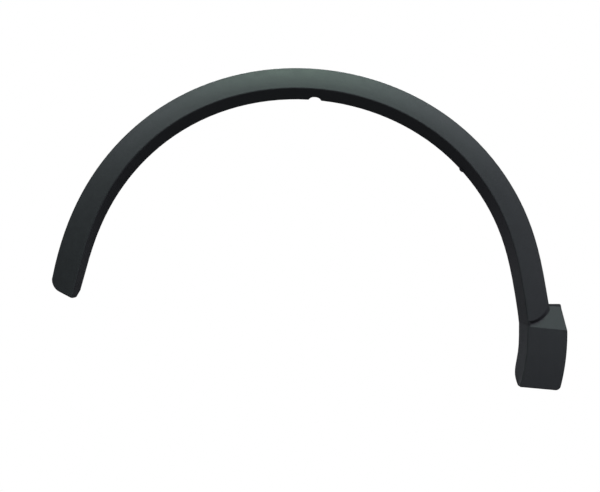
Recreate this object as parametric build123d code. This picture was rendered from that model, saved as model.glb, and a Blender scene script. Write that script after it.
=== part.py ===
from build123d import *
import os
from collections import namedtuple
from math import atan2, cos, hypot, radians, sin, sqrt, tan

# Wheel arch trim of a car's front wing: one moulded shell with push-in clips on its hidden back.
# X runs along the car, Z is up and the visible side faces -Y. The wing's panel is the plane y = 0.
# The origin is the centre of the wheel arch on that panel. A height is a distance out from the panel.

# Arch band, as seen from the front. Angles count from the right end over the crown to the left end.
arch_radius = 433.5
shoulder_fullness = 3.5
shoulder_skew = 1.0
band_width = 53.0
lip_run_crown = 15.3
lip_run_left = 6.0
lip_run_right = 10.5
crown_angle = 90.0
left_leg_angle = 163.0
right_leg_angle = 10.0
first_station_angle = 178.0
station_count = 17

# Section of the band
wall = 2.6
edge_height = 6.0
crest_height = 22.0
face_crown = 1.6
lip_depth = 14.0
lip_land = 4.0
flange_gap = 18.0
edge_radius = 3.0
crest_radius = 2.6
crown_blend_angle = 24.0

# Left foot, cut off along a raked end edge and a raked lip edge that meet at the crest
foot_angle = 175.5
foot_side_angle = 171.5
foot_flare_angle = 160.0
foot_flare = 2.4
foot_tip_inset = 3.5
foot_end_rake = 26.0
foot_lip_rake = 60.0
foot_corner_radius = 24.0
foot_tip_radius = 4.0
foot_cut_height = 46.0

# End block below the right leg
joint_drop = 13.0
joint_lip_ease = 1.6
block_step = 1.5
block_width = 69.0
block_top = 21.3
block_top_setback = 8.9
block_shoulder_drop = 25.8
block_belly_drop = 72.0
block_belly_setback = 2.3
block_heel_drop = 129.0
block_heel_setback = 13.0
block_toe_drop = 121.3
block_corner_radius = 9.0
block_tuck = 3.5
block_top_radius = 3.0
lip_bulge = 7.2
crest_drift = 18.0
block_station_count = 8

# Ledge between the arch's end and the block's front
ledge_front_drop = 17.4
ledge_end_drop = 24.0
ledge_rim_height = 2.2
ledge_rim_level = 16.0
tongue_left_drop = 7.6
tongue_mid_run = 18.2
tongue_mid_level = 3.5
tongue_right_level = 16.5
tongue_draft = 52.0
end_edge_radius = 1.8

# Half-round notch and small rounded nib in the lip's rear edge
notch_angle = 85.6
notch_radius = 10.5
notch_overhang = 0.5
notch_corner_radius = 2.0
nib_angle = 41.8
nib_radius = 7.0
nib_rise = 2.2
nib_root = 2.4
nib_depth = 5.0

# Stiffening ribs behind the face
rib_thickness = 1.6
rib_edge_clearance = 2.0
rib_panel_gap = 1.0
rib_pitch_angle = 8.0
block_rib_back = 6.0
block_rib_run = 23.0
block_rib_shares = (0.2, 0.8)

# Clip houses, moulded behind the face
clip_count = 7
clip_first_angle = 160.0
clip_last_angle = 16.0
clip_inset = 20.0
house_width = 22.0
house_length = 24.0
house_wall = 1.6
shelf_height = 2.0
shelf_thickness = 2.0
block_clip_run = 42.0
block_clip_drop = 56.0

# Push-in clips
clip_head_width = 15.0
clip_head_thickness = 1.8
clip_neck_width = 7.6
clip_skirt_diameter = 17.0
clip_skirt_thickness = 1.4
clip_stem_width = 6.2
clip_barb_width = 8.4
clip_blade_thickness = 2.2
clip_barb_count = 3
clip_barb_pitch = 3.2
clip_tip_length = 4.0
clip_clearance = 0.2

# Locating pins, one at each end of the trim, opposite each other about the arch's centre
pin_inset = 18.5
pin_angle = 170.0
pin_diameter = 6.0
pin_length = 11.0
pin_boss_diameter = 10.0
pin_tip_chamfer = 1.2
pin_boss_gap = 2.0

# Cutting bodies: their reach past the trim, and how far their sides bite into the band's outer edge
back_reach = lip_depth + 12.0
front_reach = crest_height + 20.0
seat_allowance = 3.0
cut_reach = 160.0
side_bite = 0.52

joint_level = -joint_drop
block_height = crest_height - block_step
pin_circle_radius = arch_radius - pin_inset

# A section of the band or block on its own plane: x is the distance from the wheel's centre, y the height
Section = namedtuple("Section", "plane outer edge_height crest crest_height crown lip")


def on_leg(rail_radius, level):
    """Distance along X of the straight right leg of a rail, at a level."""
    angle = radians(right_leg_angle)
    return (rail_radius - level * sin(angle)) / cos(angle)


def outer_rail(angle):
    """Radius of the band's outer edge, which flares a little towards the left foot."""
    if angle < right_leg_angle:
        return outer_rail(right_leg_angle) / cos(radians(right_leg_angle - angle))
    skew = shoulder_skew * sin(radians(4 * angle))
    flare_share = max(0.0, angle - foot_flare_angle) / (foot_side_angle - foot_flare_angle)
    shoulder = shoulder_fullness * sin(radians(2 * angle)) ** 2 + skew
    return arch_radius + shoulder + foot_flare * flare_share ** 2


def lip_ease(level):
    """How far the lip's rear edge has bent in from the straight right leg, all of it at the joint."""
    leg_top = lip_rail(right_leg_angle) * sin(radians(right_leg_angle))
    return joint_lip_ease * ((leg_top - level) / (leg_top - joint_level)) ** 4


def lip_rail(angle):
    """Radius of the lip's rear edge: straight down the left leg, and bent a little on the right leg."""
    if angle < right_leg_angle:
        straight = lip_rail(right_leg_angle) / cos(radians(right_leg_angle - angle))
        return straight - lip_ease(straight * sin(radians(angle)))
    if angle > left_leg_angle:
        return lip_rail(left_leg_angle) / cos(radians(angle - left_leg_angle))
    return outer_rail(angle) - band_width


def lip_run(angle):
    """How far the lip leans in towards the wheel between the crest and its rear edge."""
    leg_run = lip_run_left if angle > crown_angle else lip_run_right
    return lip_run_crown + (leg_run - lip_run_crown) * cos(radians(angle)) ** 4


def crest_rail(angle):
    return lip_rail(angle) + lip_run(angle)


def crown_at(angle, outer, crest):
    """Rise of the face's arc over its chord. At the right end the arc is level where it meets the crest."""
    rise = crest_height - edge_height
    level_crown = hypot(outer - crest, rise) / 2 * tan(atan2(rise, outer - crest) / 2)
    share = min(1.0, max(0.0, 1 - angle / crown_blend_angle))
    blend = share * share * (3 - 2 * share)
    return face_crown + (level_crown - face_crown) * blend


def radial_plane(angle):
    """Plane through the arch's axis: x away from the axis, y out from the panel."""
    a = radians(angle)
    return Plane(origin=(0, 0, 0), x_dir=(cos(a), 0, sin(a)), z_dir=(sin(a), 0, -cos(a)))


def level_plane(level):
    """Level plane: x along the car, y out from the panel."""
    return Plane(origin=(0, 0, level), x_dir=(1, 0, 0), z_dir=(0, 0, -1))


def band_section(angle):
    outer = outer_rail(angle)
    crest = crest_rail(angle)
    crown = crown_at(angle, outer, crest)
    return Section(radial_plane(angle), outer, edge_height, crest, crest_height, crown, lip_rail(angle))


leg_outer = outer_rail(right_leg_angle)
leg_lip = lip_rail(right_leg_angle)
joint_lip = on_leg(leg_lip, joint_level) - lip_ease(joint_level)
joint_crest = joint_lip + lip_run_right
shoulder_x = joint_crest + block_width


def joint_section():
    """Last section of the band, where the right leg meets the block."""
    outer = on_leg(leg_outer, joint_level)
    crown = crown_at(0, outer, joint_crest)
    return Section(level_plane(joint_level), outer, edge_height, joint_crest, crest_height, crown, joint_lip)


def block_section(share):
    """Section of the block at a share of the way down it: the lip bulges and the crest drifts inwards."""
    level = joint_level - share * (block_heel_drop - joint_drop + 2 * wall)
    bulge = lip_bulge * sin(radians(180 * share ** 2)) ** 2
    drift = crest_drift * share ** 2.5
    height = block_height - block_tuck * share ** 3
    outer = shoulder_x + 2 * wall
    return Section(level_plane(level), outer, height, joint_crest - drift, height, 0, joint_lip - bulge)


def crossing(centre, radius, point, direction):
    """Outermost point where a line crosses a circle."""
    gap = point - centre
    along = gap.dot(direction)
    reach = sqrt(along ** 2 - gap.dot(gap) + radius ** 2)
    ends = [point + direction * (reach - along), point - direction * (reach + along)]
    return max(ends, key=lambda p: p.Y)


def rounded(outline, corner, radius):
    """Outline with one corner rounded by two equal arcs, which meet on the corner's middle line."""
    outline = fillet(outline.vertices().sort_by_distance(corner)[0], radius)
    arc = outline.edges().sort_by_distance(corner)[0]
    sides = [edge for edge in outline.edges() if edge != arc]
    return make_face(sides + [arc.trim(0, 0.5), arc.trim(0.5, 1)])


def solid_outline(s):
    """Face outside of a section, closed at the back by a slanted line."""
    edge = Vector(s.outer, s.edge_height)
    crest = Vector(s.crest, s.crest_height)
    normal = Vector(crest.Y - edge.Y, edge.X - crest.X).normalized()
    middle = (edge + crest) / 2 + normal * s.crown
    base = Vector(s.outer, -seat_allowance)
    lip = Vector(s.lip, -lip_depth)
    heel = Vector(s.lip + lip_land, -lip_depth)
    seat = Vector(s.outer - lip_land, -seat_allowance)
    face_line = ThreePointArc(edge, middle, crest) if s.crown else Line(edge, crest)
    front_lines = [Line(base, edge), face_line, Line(crest, lip)]
    back_lines = [Line(lip, heel), Line(heel, seat), Line(seat, base)]
    outline = rounded(make_face(Curve() + front_lines + back_lines), edge, edge_radius)
    return rounded(outline, crest, crest_radius)


def hollow_outline(s, inset):
    """The same section set in from the skin and open towards the back."""
    edge = Vector(s.outer, s.edge_height)
    crest = Vector(s.crest, s.crest_height)
    lip_way = (Vector(s.lip, -lip_depth) - crest).normalized()
    lip_start = crest + Vector(-lip_way.Y, lip_way.X) * inset
    side = Vector(s.outer - inset, 0)
    upright = Vector(0, 1)
    if s.crown:
        chord = crest - edge
        normal = Vector(chord.Y, -chord.X).normalized()
        radius = (chord.length ** 2 / 4 + s.crown ** 2) / (2 * s.crown)
        centre = (edge + crest) / 2 - normal * (radius - s.crown)
        corner = crossing(centre, radius - inset, side, upright)
        ridge = crossing(centre, radius - inset, lip_start, lip_way)
        middle = centre + ((corner + ridge) / 2 - centre).normalized() * (radius - inset)
        face_line = ThreePointArc(corner, middle, ridge)
    else:
        corner = Vector(side.X, s.edge_height - inset)
        ridge = lip_start + lip_way * ((corner.Y - lip_start.Y) / lip_way.Y)
        face_line = Line(corner, ridge)
    heel = lip_start + lip_way * ((-back_reach - lip_start.Y) / lip_way.Y)
    seat = Vector(side.X, -back_reach)
    return make_face(Curve() + [Line(seat, corner), face_line, Line(ridge, heel), Line(heel, seat)])


def section_face(s, inset):
    return s.plane * (hollow_outline(s, inset) if inset else solid_outline(s))


def front_prism(sketch, low, high):
    """Body with a given front view, between two heights."""
    return Pos(0, -low, 0) * extrude(Plane.XZ * sketch, high - low)


def polygon(*points):
    return make_face(Polyline(*points, close=True))


def polar(radius, angle):
    return (radius * cos(radians(angle)), radius * sin(radians(angle)))


def front_rim(body, view):
    """Edges where the front of a body meets the walls that a front view has cut."""
    touching = 0.01
    steepest = 0.7
    lines = view.edges()
    rim = ShapeList()
    for edge in body.edges():
        middle = edge @ 0.5
        flat = Vector(middle.X, middle.Z)
        on_wall = min(line.distance_to(flat) for line in lines) < touching
        if on_wall and middle.Y < 0 and abs(edge.tangent_at(0.5).Y) < steepest:
            rim.append(edge)
    return rim


def band_form(inset):
    """The arch from the left foot to the joint with the block."""
    step = first_station_angle / (station_count - 1)
    sections = [band_section(first_station_angle - step * k) for k in range(station_count)]
    sections.append(joint_section())
    band = loft([section_face(s, inset) for s in sections])
    band -= front_prism(foot_cutter(inset), -back_reach - wall, front_reach)
    return band if inset else fillet(front_rim(band, foot_cutter(0)), end_edge_radius)


def foot_cutter(inset):
    """Front view of all that is cut away round the left foot."""
    tip_x, tip_z = polar(crest_rail(foot_angle) - foot_tip_inset, foot_angle)
    tip = Vector(tip_x, tip_z)
    end_way = Vector(-cos(radians(foot_end_rake)), sin(radians(foot_end_rake)))
    lip_way = Vector(cos(radians(foot_lip_rake)), sin(radians(foot_lip_rake)))
    side_x = -outer_rail(foot_side_angle) * cos(radians(180 - foot_side_angle)) + side_bite
    corner = tip + end_way * ((side_x - tip.X) / end_way.X)
    top_of_lip = tip + lip_way * foot_cut_height
    cutter = polygon(
        tip,
        corner,
        (side_x, corner.Y + foot_cut_height),
        (side_x - cut_reach, corner.Y + foot_cut_height),
        (side_x - cut_reach, corner.Y - cut_reach),
        (tip.X + cut_reach, corner.Y - cut_reach),
        (tip.X + cut_reach, top_of_lip.Y),
        top_of_lip,
    )
    cutter = fillet(cutter.vertices().sort_by_distance(corner)[0], foot_corner_radius)
    cutter = fillet(cutter.vertices().sort_by_distance(tip)[0], foot_tip_radius)
    return offset(cutter, inset, kind=Kind.INTERSECTION) if inset else cutter


def end_outline(inset):
    """Front view of the block and its ledge, closed to the left well past the lip."""
    far_left = joint_lip - lip_bulge - 4 * wall
    top_right = (shoulder_x - block_top_setback, block_top)
    shoulder = (shoulder_x, -block_shoulder_drop)
    belly = (shoulder_x - block_belly_setback, -block_belly_drop)
    heel = (shoulder_x - block_heel_setback, -block_heel_drop)
    toe = (far_left, -block_toe_drop)
    top_left = (far_left, block_top)
    lines = [Line(top_left, top_right), Line(top_right, shoulder), ThreePointArc(shoulder, belly, heel)]
    outline = make_face(Curve() + lines + [Line(heel, toe), Line(toe, top_left)])
    outline = fillet(outline.vertices().sort_by_distance(heel)[0], block_corner_radius)
    outline = fillet(outline.vertices().sort_by_distance(top_right)[0], block_top_radius)
    return offset(outline, -inset, kind=Kind.INTERSECTION) if inset else outline


def block_form(inset):
    """The block below the joint: a lofted front, crest and lip inside the end's outline."""
    shares = [k / (block_station_count - 1) for k in range(block_station_count)]
    skin = loft([section_face(block_section(share), inset) for share in shares])
    block = skin & front_prism(end_outline(inset), -back_reach - wall, front_reach)
    return block if inset else fillet(front_rim(block, end_outline(0)), end_edge_radius)


ledge_front_left = Vector(joint_crest, -block_height, -ledge_front_drop)
ledge_front_right = Vector(shoulder_x, -block_height, -ledge_end_drop)
ledge_back = Vector(shoulder_x - block_top_setback, -ledge_rim_height, ledge_rim_level)


def ledge_plane():
    """Sloping ledge, which falls back from the block's front edge to the thin rim at its top."""
    along = ledge_front_right - ledge_front_left
    normal = along.cross(ledge_front_left - ledge_back).normalized()
    outward = normal if normal.Y < 0 else normal * -1
    return Plane(origin=ledge_front_left, x_dir=along, z_dir=outward)


def above_ledge(inset):
    plane = ledge_plane().offset(-inset)
    return extrude(plane * Rectangle(4 * cut_reach, 4 * cut_reach), cut_reach)


def ledge_form(inset):
    """The ledge above the joint, with its left side buried in the arch."""
    buried_x = joint_crest + 1.5 * wall
    zone = polygon(
        (buried_x, joint_level),
        (shoulder_x + cut_reach, joint_level),
        (shoulder_x + cut_reach, cut_reach),
        (leg_outer - 2 * wall, cut_reach),
        (leg_outer - 2 * wall, block_top),
        (buried_x, -tongue_left_drop + 2 * wall),
    )
    view = end_outline(inset) & zone
    low = -back_reach if inset else 0
    ledge = front_prism(view, low, block_height) - above_ledge(inset)
    if inset:
        return ledge
    return ledge + front_prism(view, 0, ledge_rim_height)


def tongue_space(inset):
    """All in front of the ledge beyond the arch's rounded end, whose wall leans out to the ledge."""
    lean = (crest_height - edge_height) * tan(radians(tongue_draft))
    start = Vector(joint_crest + wall / 2, -tongue_left_drop)
    middle = Vector(joint_crest + tongue_mid_run, tongue_mid_level)
    side_x = on_leg(leg_outer, tongue_right_level) - side_bite - lean
    end = Vector(side_x, tongue_right_level)
    far_right = shoulder_x + cut_reach
    lines = [
        ThreePointArc(start, middle, end),
        Polyline(end, (side_x, cut_reach), (far_right, cut_reach), (far_right, -cut_reach)),
        Polyline((far_right, -cut_reach), (start.X, -cut_reach), start),
    ]
    outline = make_face(Curve() + lines)
    if inset:
        outline = offset(outline, inset / cos(radians(tongue_draft)), kind=Kind.INTERSECTION)
    crest_level = Plane.XZ.offset(crest_height)
    space = extrude(crest_level * outline, -crest_height, taper=tongue_draft)
    space += extrude(crest_level * outline, front_reach - crest_height)
    return space & above_ledge(inset)


def trim_form(inset):
    """The trim's whole form, set in from the skin by a given depth."""
    form = (band_form(inset) + block_form(inset) - tongue_space(inset)) + ledge_form(inset)
    if inset:
        return form
    ledge_front = form.edges().sort_by_distance((ledge_front_left + ledge_front_right) / 2)[0]
    return fillet(ledge_front, end_edge_radius)


def panel_side():
    """All that lies behind the wing's panel and outside its edge, so that the rim ends flush on the panel."""
    reach = 2 * arch_radius
    edge_radius_of_panel = lip_rail(crown_angle) + flange_gap
    leg_edge = joint_lip + flange_gap
    view = Rectangle(2 * reach, 2 * reach) - Circle(edge_radius_of_panel)
    view -= Pos(leg_edge / 2, -reach / 2) * Rectangle(leg_edge, reach)
    return front_prism(view, -back_reach - wall, 0)


def notch_cutter():
    """Body that bites a round notch with eased corners out of the lip's rear edge."""
    x, z = polar(lip_rail(notch_angle), notch_angle)
    away = radial_plane(notch_angle).x_dir
    place = Plane(origin=(x, lip_depth, z), x_dir=(0, -1, 0), z_dir=away)
    half = sqrt(notch_radius ** 2 - notch_overhang ** 2)
    bite = Pos(-notch_overhang, 0) * Circle(notch_radius)
    view = bite + Pos(-notch_radius, 0) * Rectangle(2 * notch_radius, 4 * notch_radius)
    corners = [view.vertices().sort_by_distance((0, side * half))[0] for side in (1, -1)]
    return extrude(place * fillet(corners, notch_corner_radius), lip_run_crown + 2 * wall, both=True)


def back_frame(angle, radius):
    """Frame behind the face: x away from the wheel, z out from the panel."""
    x, z = polar(radius, angle)
    return Plane(origin=(x, 0, z), x_dir=radial_plane(angle).x_dir, z_dir=(0, -1, 0))


def lip_nib():
    """Rounded nib that stands in from the lip's rear edge, rooted in the lip's wall."""
    view = Pos(nib_radius - nib_rise, 0) * Circle(nib_radius) & Rectangle(2 * nib_root, 4 * nib_radius)
    return back_frame(nib_angle, lip_rail(nib_angle)) * Pos(0, 0, -lip_depth) * extrude(view, nib_depth)


clip_step = (clip_first_angle - clip_last_angle) / (clip_count - 1)
clip_angles = [clip_first_angle - clip_step * k for k in range(clip_count)]
block_clip_frame = Plane(
    origin=(joint_crest + block_clip_run, 0, joint_level - block_clip_drop),
    x_dir=(1, 0, 0),
    z_dir=(0, -1, 0),
)
clip_frames = [back_frame(a, outer_rail(a) - clip_inset) for a in clip_angles] + [block_clip_frame]


def clip_house():
    """Three walls and a slotted shelf that a clip's head slides into from the open end."""
    inner_width = house_width - 2 * house_wall
    floor = Rectangle(house_width, house_length)
    room = Pos(0, house_wall) * Rectangle(inner_width, house_length)
    slot_width = clip_neck_width + 2 * clip_clearance
    slot = Pos(0, (house_length - slot_width) / 2) * Rectangle(slot_width, house_length)
    walls = Pos(0, 0, shelf_height) * extrude(floor - room, front_reach)
    shelf = Pos(0, 0, shelf_height) * extrude(floor - slot, shelf_thickness)
    return walls + shelf


def barbed_blade():
    """Flat blade of a clip's stem, with barbs on both edges and a blunt point."""
    stem = clip_stem_width / 2
    level = shelf_height - clip_skirt_thickness
    edge = [(stem, level)]
    for _ in range(clip_barb_count):
        edge += [(stem, level - clip_barb_pitch / 3), (clip_barb_width / 2, level - clip_barb_pitch / 2)]
        level -= clip_barb_pitch
        edge += [(stem, level)]
    edge += [(stem / 2, level - clip_tip_length)]
    other_edge = [(-x, z) for x, z in reversed(edge)]
    return extrude(Plane.XZ * polygon(*edge, *other_edge), clip_blade_thickness / 2, both=True)


def push_clip():
    """Clip with a square head and neck, a round sealing skirt and a stem of two crossed blades."""
    head_low = shelf_height + shelf_thickness + clip_clearance
    skirt_low = shelf_height - clip_skirt_thickness
    half_neck = clip_neck_width / 2
    skirt_half = polygon(
        (0, shelf_height),
        (half_neck, shelf_height),
        (clip_skirt_diameter / 2, skirt_low),
        (0, skirt_low),
    )
    head = Pos(0, 0, head_low) * extrude(Rectangle(clip_head_width, clip_head_width), clip_head_thickness)
    neck = Pos(0, 0, skirt_low) * extrude(Rectangle(clip_neck_width, clip_neck_width), head_low - skirt_low)
    skirt = revolve(Plane.XZ * skirt_half, Axis.Z)
    blades = [barbed_blade(), Rot(0, 0, 90) * barbed_blade()]
    return head + neck + skirt + blades


def band_rib(angle):
    """Rib across the back of the band, deepest beside the lip."""
    outer = outer_rail(angle)
    lip = lip_rail(angle)
    view = polygon(
        (outer, edge_height - rib_edge_clearance),
        (outer, front_reach),
        (lip, front_reach),
        (lip, rib_panel_gap),
    )
    return extrude(radial_plane(angle) * view, rib_thickness / 2, both=True)


def block_ribs():
    """Upright and level ribs behind the block's front."""
    height = block_heel_drop - joint_drop
    upright = Rectangle(rib_thickness, height)
    level = Rectangle(2 * block_width, rib_thickness)
    ribs = Sketch() + Pos(joint_crest + block_rib_run, joint_level - height / 2) * upright
    for share in block_rib_shares:
        ribs += Pos(joint_crest + block_width / 2, joint_level - share * height) * level
    return front_prism(ribs, block_rib_back, front_reach)


def pin_boss():
    """Boss that carries a locating pin and grows from the back of the face."""
    return Pos(0, 0, pin_boss_gap) * extrude(Circle(pin_boss_diameter / 2), front_reach)


def locating_pin():
    """Pin with a chamfered tip, rooted in its boss."""
    pin = Pos(0, 0, -pin_length) * extrude(Circle(pin_diameter / 2), pin_length + 2 * pin_boss_gap)
    tip = pin.edges().group_by(Axis.Z)[0]
    return chamfer(tip, pin_tip_chamfer)


def arch_trim():
    """The moulded trim: a thin shell, with its ribs, clip houses and bosses left standing in its hollow."""
    rib_angles = [a + k * rib_pitch_angle for a in clip_angles[1:] for k in (1, 2)]
    pin_frames = [back_frame(a, pin_circle_radius) for a in (pin_angle, pin_angle - 180)]
    features = [band_rib(a) for a in rib_angles] + [block_ribs()]
    features += [frame * clip_house() for frame in clip_frames]
    features += [frame * pin_boss() for frame in pin_frames]
    hollow = trim_form(wall) - features
    body = trim_form(0) - panel_side() - hollow
    body += [frame * locating_pin() for frame in pin_frames]
    return body + lip_nib() - notch_cutter()


def push_clips():
    """All the clips, seated in their houses."""
    return Compound(children=[frame * push_clip() for frame in clip_frames])


os.makedirs("parts", exist_ok=True)
export_step(arch_trim(), "parts/arch_trim.step")
export_step(push_clips(), "parts/push_clips.step")
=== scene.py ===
import math

import bpy
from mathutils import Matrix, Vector


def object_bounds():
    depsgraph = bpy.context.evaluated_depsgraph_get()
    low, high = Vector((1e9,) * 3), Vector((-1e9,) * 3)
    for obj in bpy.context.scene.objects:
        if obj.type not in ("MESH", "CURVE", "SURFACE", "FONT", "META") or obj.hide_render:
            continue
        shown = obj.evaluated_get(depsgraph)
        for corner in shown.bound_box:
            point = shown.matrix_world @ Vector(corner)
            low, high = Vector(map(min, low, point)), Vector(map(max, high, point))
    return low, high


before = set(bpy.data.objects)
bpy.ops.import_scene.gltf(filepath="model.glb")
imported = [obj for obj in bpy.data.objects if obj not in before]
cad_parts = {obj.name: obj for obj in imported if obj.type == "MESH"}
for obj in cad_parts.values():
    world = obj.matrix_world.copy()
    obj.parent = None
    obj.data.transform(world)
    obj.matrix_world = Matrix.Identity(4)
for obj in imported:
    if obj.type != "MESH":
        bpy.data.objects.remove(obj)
cad_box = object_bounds()

# The picture: a level front view, a little long in focal length
VIEW_CENTRE = Vector((0.003, 0.0, 0.1226))
VIEW_WIDTH = 1.05
VIEW_DISTANCE = 2.6
SENSOR_WIDTH_MM = 36.0

# Stage: the floor lies below the picture and fades into the white surroundings
FLOOR_DROP = 0.5
FLOOR_RADIUS = 3.0
FLOOR_SIDES = 96
FLOOR_FADE_START = 0.5
FLOOR_FADE_END = 1.4
FLOOR_ROUGHNESS = 0.9

# Light: softboxes aimed at the trim, each with its place, width, height, power in watts and tint
WORLD_STRENGTH = 0.12
LAMP_TARGET = Vector((0.0, 0.0, 0.15))
OVERHEAD_TINT = (0.70, 1.0, 0.81)
FILL_TINT = (0.88, 0.86, 1.0)
LAMPS = (
    ("overhead softbox", (0.0, -0.64, 2.25), 1.0, 1.3, 45.0, OVERHEAD_TINT),
    ("left softbox", (-1.03, -0.96, 1.84), 1.3, 1.0, 16.1, FILL_TINT),
    ("right softbox", (1.19, -0.77, 1.84), 1.3, 1.0, 17.5, FILL_TINT),
    ("low fill", (1.06, -1.84, -0.42), 1.0, 1.0, 7.7, FILL_TINT),
    ("right fill", (2.04, -0.74, 0.53), 1.0, 1.0, 2.9, FILL_TINT),
    ("left rim", (-1.77, 1.24, -0.23), 1.0, 1.0, 3.1, FILL_TINT),
    ("right rim", (2.17, 0.38, 0.15), 1.0, 1.0, 1.5, FILL_TINT),
    ("rear fill", (0.0, 2.1, 1.2), 1.4, 1.0, 65.0, FILL_TINT),
)

# Finishes, as linear colours
PLASTIC_DARK = (0.0138, 0.0152, 0.0172, 1.0)
PLASTIC_LIGHT = (0.0196, 0.0214, 0.0238, 1.0)
NYLON_LIGHT = (0.66, 0.63, 0.53, 1.0)
NYLON_DARK = (0.56, 0.52, 0.42, 1.0)
FLOOR_SEEN = (0.67, 0.62, 0.59, 1.0)
FLOOR_BOUNCE = (0.12, 0.12, 0.12, 1.0)
WHITE = (1.0, 1.0, 1.0, 1.0)

# Grain of the mould: pebbles with a finer grain on them. A pebble slopes down from its top to the valley
# over these distances from its centre, measured in pebbles
PEBBLE_SIZE = 0.0011
PEBBLE_TOP = 0.15
PEBBLE_VALLEY = 0.6
PEBBLE_BLEND = 0.55
FINE_SHARE = 0.35
FINE_DENSITY = 2.3
FINE_DETAIL = 2.0
GRAIN_STRENGTH = 0.35
GRAIN_DEPTH = 0.00012

# Flow marks: the detail of the broad and small clouds, and the stretch of their noise that is spread out
FLOW_DETAIL = {"Broad": 3.0, "Small": 4.0}
FLOW_LOW = 0.3
FLOW_HIGH = 0.7

# Plastic: sizes of its flow marks, their shares in its colour, and what adds up to its roughness
PLASTIC_FLOW_BROAD = 0.16
PLASTIC_FLOW_SMALL = 0.012
BROAD_SHARE = 0.6
SMALL_SHARE = 0.4
ROUGHNESS_BEHIND = 0.34
ROUGHNESS_SHOWN = 0.14
ROUGHNESS_VALLEY = 0.1
ROUGHNESS_FLOW = 0.05

# The grain ends where a surface turns to the back: the normal's Y at the start and end of the change
GRAIN_END_START = -0.05
GRAIN_END_STOP = 0.3

# Nylon of the clips: flow marks, gloss and the light that it lets in
NYLON_FLOW_BROAD = 0.02
NYLON_FLOW_SMALL = 0.003
NYLON_ROUGHNESS_LOW = 0.3
NYLON_ROUGHNESS_HIGH = 0.42
NYLON_BUMP_STRENGTH = 0.1
NYLON_BUMP_DEPTH = 0.0001
NYLON_SUBSURFACE = 0.15
NYLON_SUBSURFACE_RADIUS = (0.002, 0.0018, 0.0012)


# Node tools

def new_group(name, inputs, outputs):
    """Shader node group of plain values: inputs are given with their defaults, outputs by name."""
    group = bpy.data.node_groups.new(name, "ShaderNodeTree")
    for socket_name, default in inputs:
        socket = group.interface.new_socket(socket_name, in_out="INPUT", socket_type="NodeSocketFloat")
        socket.default_value = default
    for socket_name in outputs:
        group.interface.new_socket(socket_name, in_out="OUTPUT", socket_type="NodeSocketFloat")
    return group


def add(tree, kind, **settings):
    """New node, with its properties set by name."""
    node = tree.nodes.new(kind)
    for key, value in settings.items():
        setattr(node, key, value)
    return node


def wire(tree, source, target):
    tree.links.new(source, target)


def maths(tree, operation, first, second):
    """Result of one operation on two values, each a number or a socket."""
    node = add(tree, "ShaderNodeMath", operation=operation)
    for socket, value in zip(node.inputs, (first, second)):
        if isinstance(value, float):
            socket.default_value = value
        else:
            wire(tree, value, socket)
    return node.outputs[0]


def noise(tree, place, density, detail):
    node = add(tree, "ShaderNodeTexNoise")
    node.inputs["Detail"].default_value = detail
    wire(tree, place, node.inputs["Vector"])
    wire(tree, density, node.inputs["Scale"])
    return node.outputs["Fac"]


def ramp(tree, value, low, high, low_out=0.0, high_out=1.0):
    """Value eased from one output to the other while it goes from low to high."""
    node = add(tree, "ShaderNodeMapRange", interpolation_type="SMOOTHSTEP")
    node.inputs["From Min"].default_value = low
    node.inputs["From Max"].default_value = high
    node.inputs["To Min"].default_value = low_out
    node.inputs["To Max"].default_value = high_out
    wire(tree, value, node.inputs["Value"])
    return node.outputs["Result"]


def mix_colour(tree, factor, first, second):
    """Mix of two plain colours."""
    node = add(tree, "ShaderNodeMix", data_type="RGBA")
    wire(tree, factor, node.inputs["Factor"])
    for name, colour in (("A", first), ("B", second)):
        socket = next(s for s in node.inputs if s.name == name and s.type == "RGBA")
        socket.default_value = colour
    return next(s for s in node.outputs if s.type == "RGBA")


def mix_shader(tree, factor, first, second):
    node = add(tree, "ShaderNodeMixShader")
    wire(tree, factor, node.inputs["Fac"])
    wire(tree, first, node.inputs[1])
    wire(tree, second, node.inputs[2])
    return node.outputs[0]


def bumped_normal(tree, height, strength, depth):
    node = add(tree, "ShaderNodeBump")
    node.inputs["Strength"].default_value = strength
    node.inputs["Distance"].default_value = depth
    wire(tree, height, node.inputs["Height"])
    return node.outputs["Normal"]


# Shared effects

def moulded_grain_group():
    """Fine pebbled grain of a spark-etched mould: a height, and a mask that is high on the pebbles."""
    group = new_group(
        "moulded grain",
        [("Pebble Size", PEBBLE_SIZE), ("Fine Share", FINE_SHARE)],
        ["Height", "Pebble"],
    )
    given = add(group, "NodeGroupInput")
    result = add(group, "NodeGroupOutput")
    place = add(group, "ShaderNodeTexCoord").outputs["Object"]
    density = maths(group, "DIVIDE", 1.0, given.outputs["Pebble Size"])
    cells = add(group, "ShaderNodeTexVoronoi", feature="SMOOTH_F1")
    cells.inputs["Smoothness"].default_value = PEBBLE_BLEND
    wire(group, place, cells.inputs["Vector"])
    wire(group, density, cells.inputs["Scale"])
    pebble = ramp(group, cells.outputs["Distance"], PEBBLE_TOP, PEBBLE_VALLEY, 1.0, 0.0)
    fine = noise(group, place, maths(group, "MULTIPLY", density, FINE_DENSITY), FINE_DETAIL)
    fine_part = maths(group, "MULTIPLY", fine, given.outputs["Fine Share"])
    wire(group, maths(group, "ADD", pebble, fine_part), result.inputs["Height"])
    wire(group, pebble, result.inputs["Pebble"])
    return group


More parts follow.
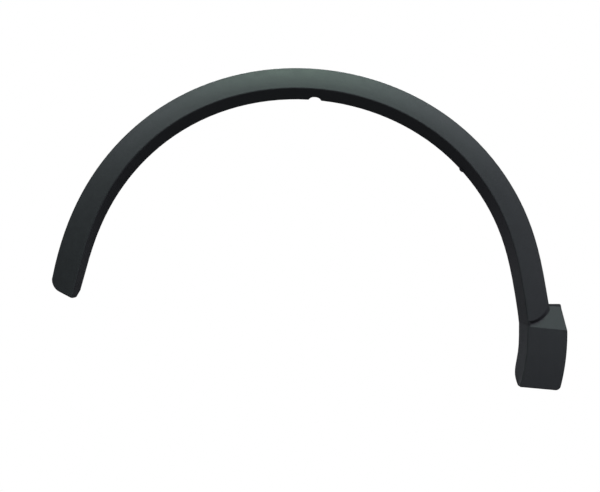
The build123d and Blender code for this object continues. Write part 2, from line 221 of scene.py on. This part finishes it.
def moulded_flow_group():
    """Faint cloudiness that a moulding keeps from the plastic's flow: two masks, broad and small."""
    group = new_group(
        "moulded flow",
        [("Broad Size", PLASTIC_FLOW_BROAD), ("Small Size", PLASTIC_FLOW_SMALL)],
        ["Broad", "Small"],
    )
    given = add(group, "NodeGroupInput")
    result = add(group, "NodeGroupOutput")
    place = add(group, "ShaderNodeTexCoord").outputs["Object"]
    for name, detail in FLOW_DETAIL.items():
        density = maths(group, "DIVIDE", 1.0, given.outputs[f"{name} Size"])
        cloud = noise(group, place, density, detail)
        wire(group, ramp(group, cloud, FLOW_LOW, FLOW_HIGH), result.inputs[name])
    return group


grain_group = moulded_grain_group()
flow_group = moulded_flow_group()


def new_material(name):
    material = bpy.data.materials.new(name)
    material.use_nodes = True
    tree = material.node_tree
    return material, tree, tree.nodes["Principled BSDF"]


def place_group(tree, group, **values):
    """Puts a group into a material, with its inputs set by name."""
    node = add(tree, "ShaderNodeGroup", node_tree=group)
    for name, value in values.items():
        node.inputs[name.replace("_", " ")].default_value = value
    return node


def shown_side_mask(tree):
    """1 on the grained side, which faces out or towards the wheel, and 0 on the smooth hidden back."""
    geometry = add(tree, "ShaderNodeNewGeometry")
    split = add(tree, "ShaderNodeSeparateXYZ")
    wire(tree, geometry.outputs["Normal"], split.inputs[0])
    return ramp(tree, split.outputs["Y"], GRAIN_END_START, GRAIN_END_STOP, 1.0, 0.0)


# Materials

def grained_plastic():
    """Black plastic, cloudy in colour, and grained and duller on the shown side."""
    material, tree, surface = new_material("grained_plastic")
    grain = place_group(tree, grain_group, Pebble_Size=PEBBLE_SIZE, Fine_Share=FINE_SHARE)
    flow = place_group(tree, flow_group, Broad_Size=PLASTIC_FLOW_BROAD, Small_Size=PLASTIC_FLOW_SMALL)
    shown = shown_side_mask(tree)
    broad_part = maths(tree, "MULTIPLY", flow.outputs["Broad"], BROAD_SHARE)
    small_part = maths(tree, "MULTIPLY", flow.outputs["Small"], SMALL_SHARE)
    cloud = maths(tree, "ADD", broad_part, small_part)
    wire(tree, mix_colour(tree, cloud, PLASTIC_DARK, PLASTIC_LIGHT), surface.inputs["Base Color"])
    valley = maths(tree, "SUBTRACT", 1.0, grain.outputs["Pebble"])
    rough = maths(tree, "MULTIPLY", valley, ROUGHNESS_VALLEY)
    rough = maths(tree, "ADD", rough, maths(tree, "MULTIPLY", shown, ROUGHNESS_SHOWN))
    rough = maths(tree, "ADD", rough, maths(tree, "MULTIPLY", flow.outputs["Small"], ROUGHNESS_FLOW))
    wire(tree, maths(tree, "ADD", rough, ROUGHNESS_BEHIND), surface.inputs["Roughness"])
    height = maths(tree, "MULTIPLY", grain.outputs["Height"], shown)
    wire(tree, bumped_normal(tree, height, GRAIN_STRENGTH, GRAIN_DEPTH), surface.inputs["Normal"])
    return material


def clip_nylon():
    """Natural nylon, a little cloudy, that lets some light in."""
    material, tree, surface = new_material("clip_nylon")
    flow = place_group(tree, flow_group, Broad_Size=NYLON_FLOW_BROAD, Small_Size=NYLON_FLOW_SMALL)
    colour = mix_colour(tree, flow.outputs["Broad"], NYLON_LIGHT, NYLON_DARK)
    wire(tree, colour, surface.inputs["Base Color"])
    rough = ramp(tree, flow.outputs["Small"], 0.0, 1.0, NYLON_ROUGHNESS_LOW, NYLON_ROUGHNESS_HIGH)
    wire(tree, rough, surface.inputs["Roughness"])
    surface.inputs["Subsurface Weight"].default_value = NYLON_SUBSURFACE
    surface.inputs["Subsurface Radius"].default_value = NYLON_SUBSURFACE_RADIUS
    normal = bumped_normal(tree, flow.outputs["Small"], NYLON_BUMP_STRENGTH, NYLON_BUMP_DEPTH)
    wire(tree, normal, surface.inputs["Normal"])
    return material


def pale_floor():
    """Pale to the camera, with the trim's shadow, white further out and clear from below.

    It throws little light back up.
    """
    material, tree, surface = new_material("pale_floor")
    rays = add(tree, "ShaderNodeLightPath")
    colour = mix_colour(tree, rays.outputs["Is Camera Ray"], FLOOR_BOUNCE, FLOOR_SEEN)
    wire(tree, colour, surface.inputs["Base Color"])
    surface.inputs["Roughness"].default_value = FLOOR_ROUGHNESS
    surface.inputs["Specular IOR Level"].default_value = 0.0
    white = add(tree, "ShaderNodeEmission")
    white.inputs["Color"].default_value = WHITE
    wire(tree, rays.outputs["Is Camera Ray"], white.inputs["Strength"])
    reach = add(tree, "ShaderNodeVectorMath", operation="LENGTH")
    wire(tree, add(tree, "ShaderNodeTexCoord").outputs["Object"], reach.inputs[0])
    fade = ramp(tree, reach.outputs["Value"], FLOOR_FADE_START, FLOOR_FADE_END)
    top = mix_shader(tree, fade, surface.outputs["BSDF"], white.outputs["Emission"])
    below = add(tree, "ShaderNodeNewGeometry").outputs["Backfacing"]
    clear = add(tree, "ShaderNodeBsdfTransparent").outputs["BSDF"]
    wire(tree, mix_shader(tree, below, top, clear), tree.nodes["Material Output"].inputs["Surface"])
    return material


def dress(node, material):
    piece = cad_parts[node]
    piece.data.materials.clear()
    piece.data.materials.append(material)


dress("arch_trim", grained_plastic())
dress("push_clips", clip_nylon())


# Stage, camera and lights

def link(obj):
    bpy.context.scene.collection.objects.link(obj)
    return obj


def make_floor():
    low, high = cad_box
    bpy.ops.mesh.primitive_circle_add(
        vertices=FLOOR_SIDES,
        radius=FLOOR_RADIUS,
        fill_type="NGON",
        location=((low.x + high.x) / 2, (low.y + high.y) / 2, low.z - FLOOR_DROP),
    )
    floor = bpy.context.object
    floor.name = "floor"
    floor.data.materials.append(pale_floor())


def make_camera():
    """Camera in front of the trim, turned up from straight down to look level along +Y."""
    data = bpy.data.cameras.new("camera")
    data.sensor_width = SENSOR_WIDTH_MM
    data.lens = SENSOR_WIDTH_MM * VIEW_DISTANCE / VIEW_WIDTH
    camera = link(bpy.data.objects.new("camera", data))
    camera.location = VIEW_CENTRE + Vector((0.0, -VIEW_DISTANCE, 0.0))
    camera.rotation_euler = (math.radians(90), 0.0, 0.0)
    bpy.context.scene.camera = camera


def softbox(name, position, width, height, watts, tint):
    data = bpy.data.lights.new(name, "AREA")
    data.shape = "RECTANGLE"
    data.size = width
    data.size_y = height
    data.energy = watts
    data.color = tint
    lamp = link(bpy.data.objects.new(name, data))
    lamp.location = position
    lamp.rotation_euler = (LAMP_TARGET - Vector(position)).to_track_quat("-Z", "Y").to_euler()


def make_world():
    """Dim grey surroundings that the camera sees as plain white."""
    world = bpy.data.worlds.new("studio")
    bpy.context.scene.world = world
    world.use_nodes = True
    tree = world.node_tree
    tree.nodes.clear()
    rays = add(tree, "ShaderNodeLightPath")
    white = add(tree, "ShaderNodeBackground")
    white.inputs["Color"].default_value = WHITE
    dim = add(tree, "ShaderNodeBackground")
    dim.inputs["Color"].default_value = WHITE
    dim.inputs["Strength"].default_value = WORLD_STRENGTH
    seen = maths(tree, "MAXIMUM", rays.outputs["Is Camera Ray"], rays.outputs["Is Transmission Ray"])
    surroundings = mix_shader(tree, seen, dim.outputs[0], white.outputs[0])
    wire(tree, surroundings, add(tree, "ShaderNodeOutputWorld").inputs["Surface"])


make_floor()
make_camera()
make_world()
for lamp_settings in LAMPS:
    softbox(*lamp_settings)

bpy.context.scene.view_settings.view_transform = "Standard"
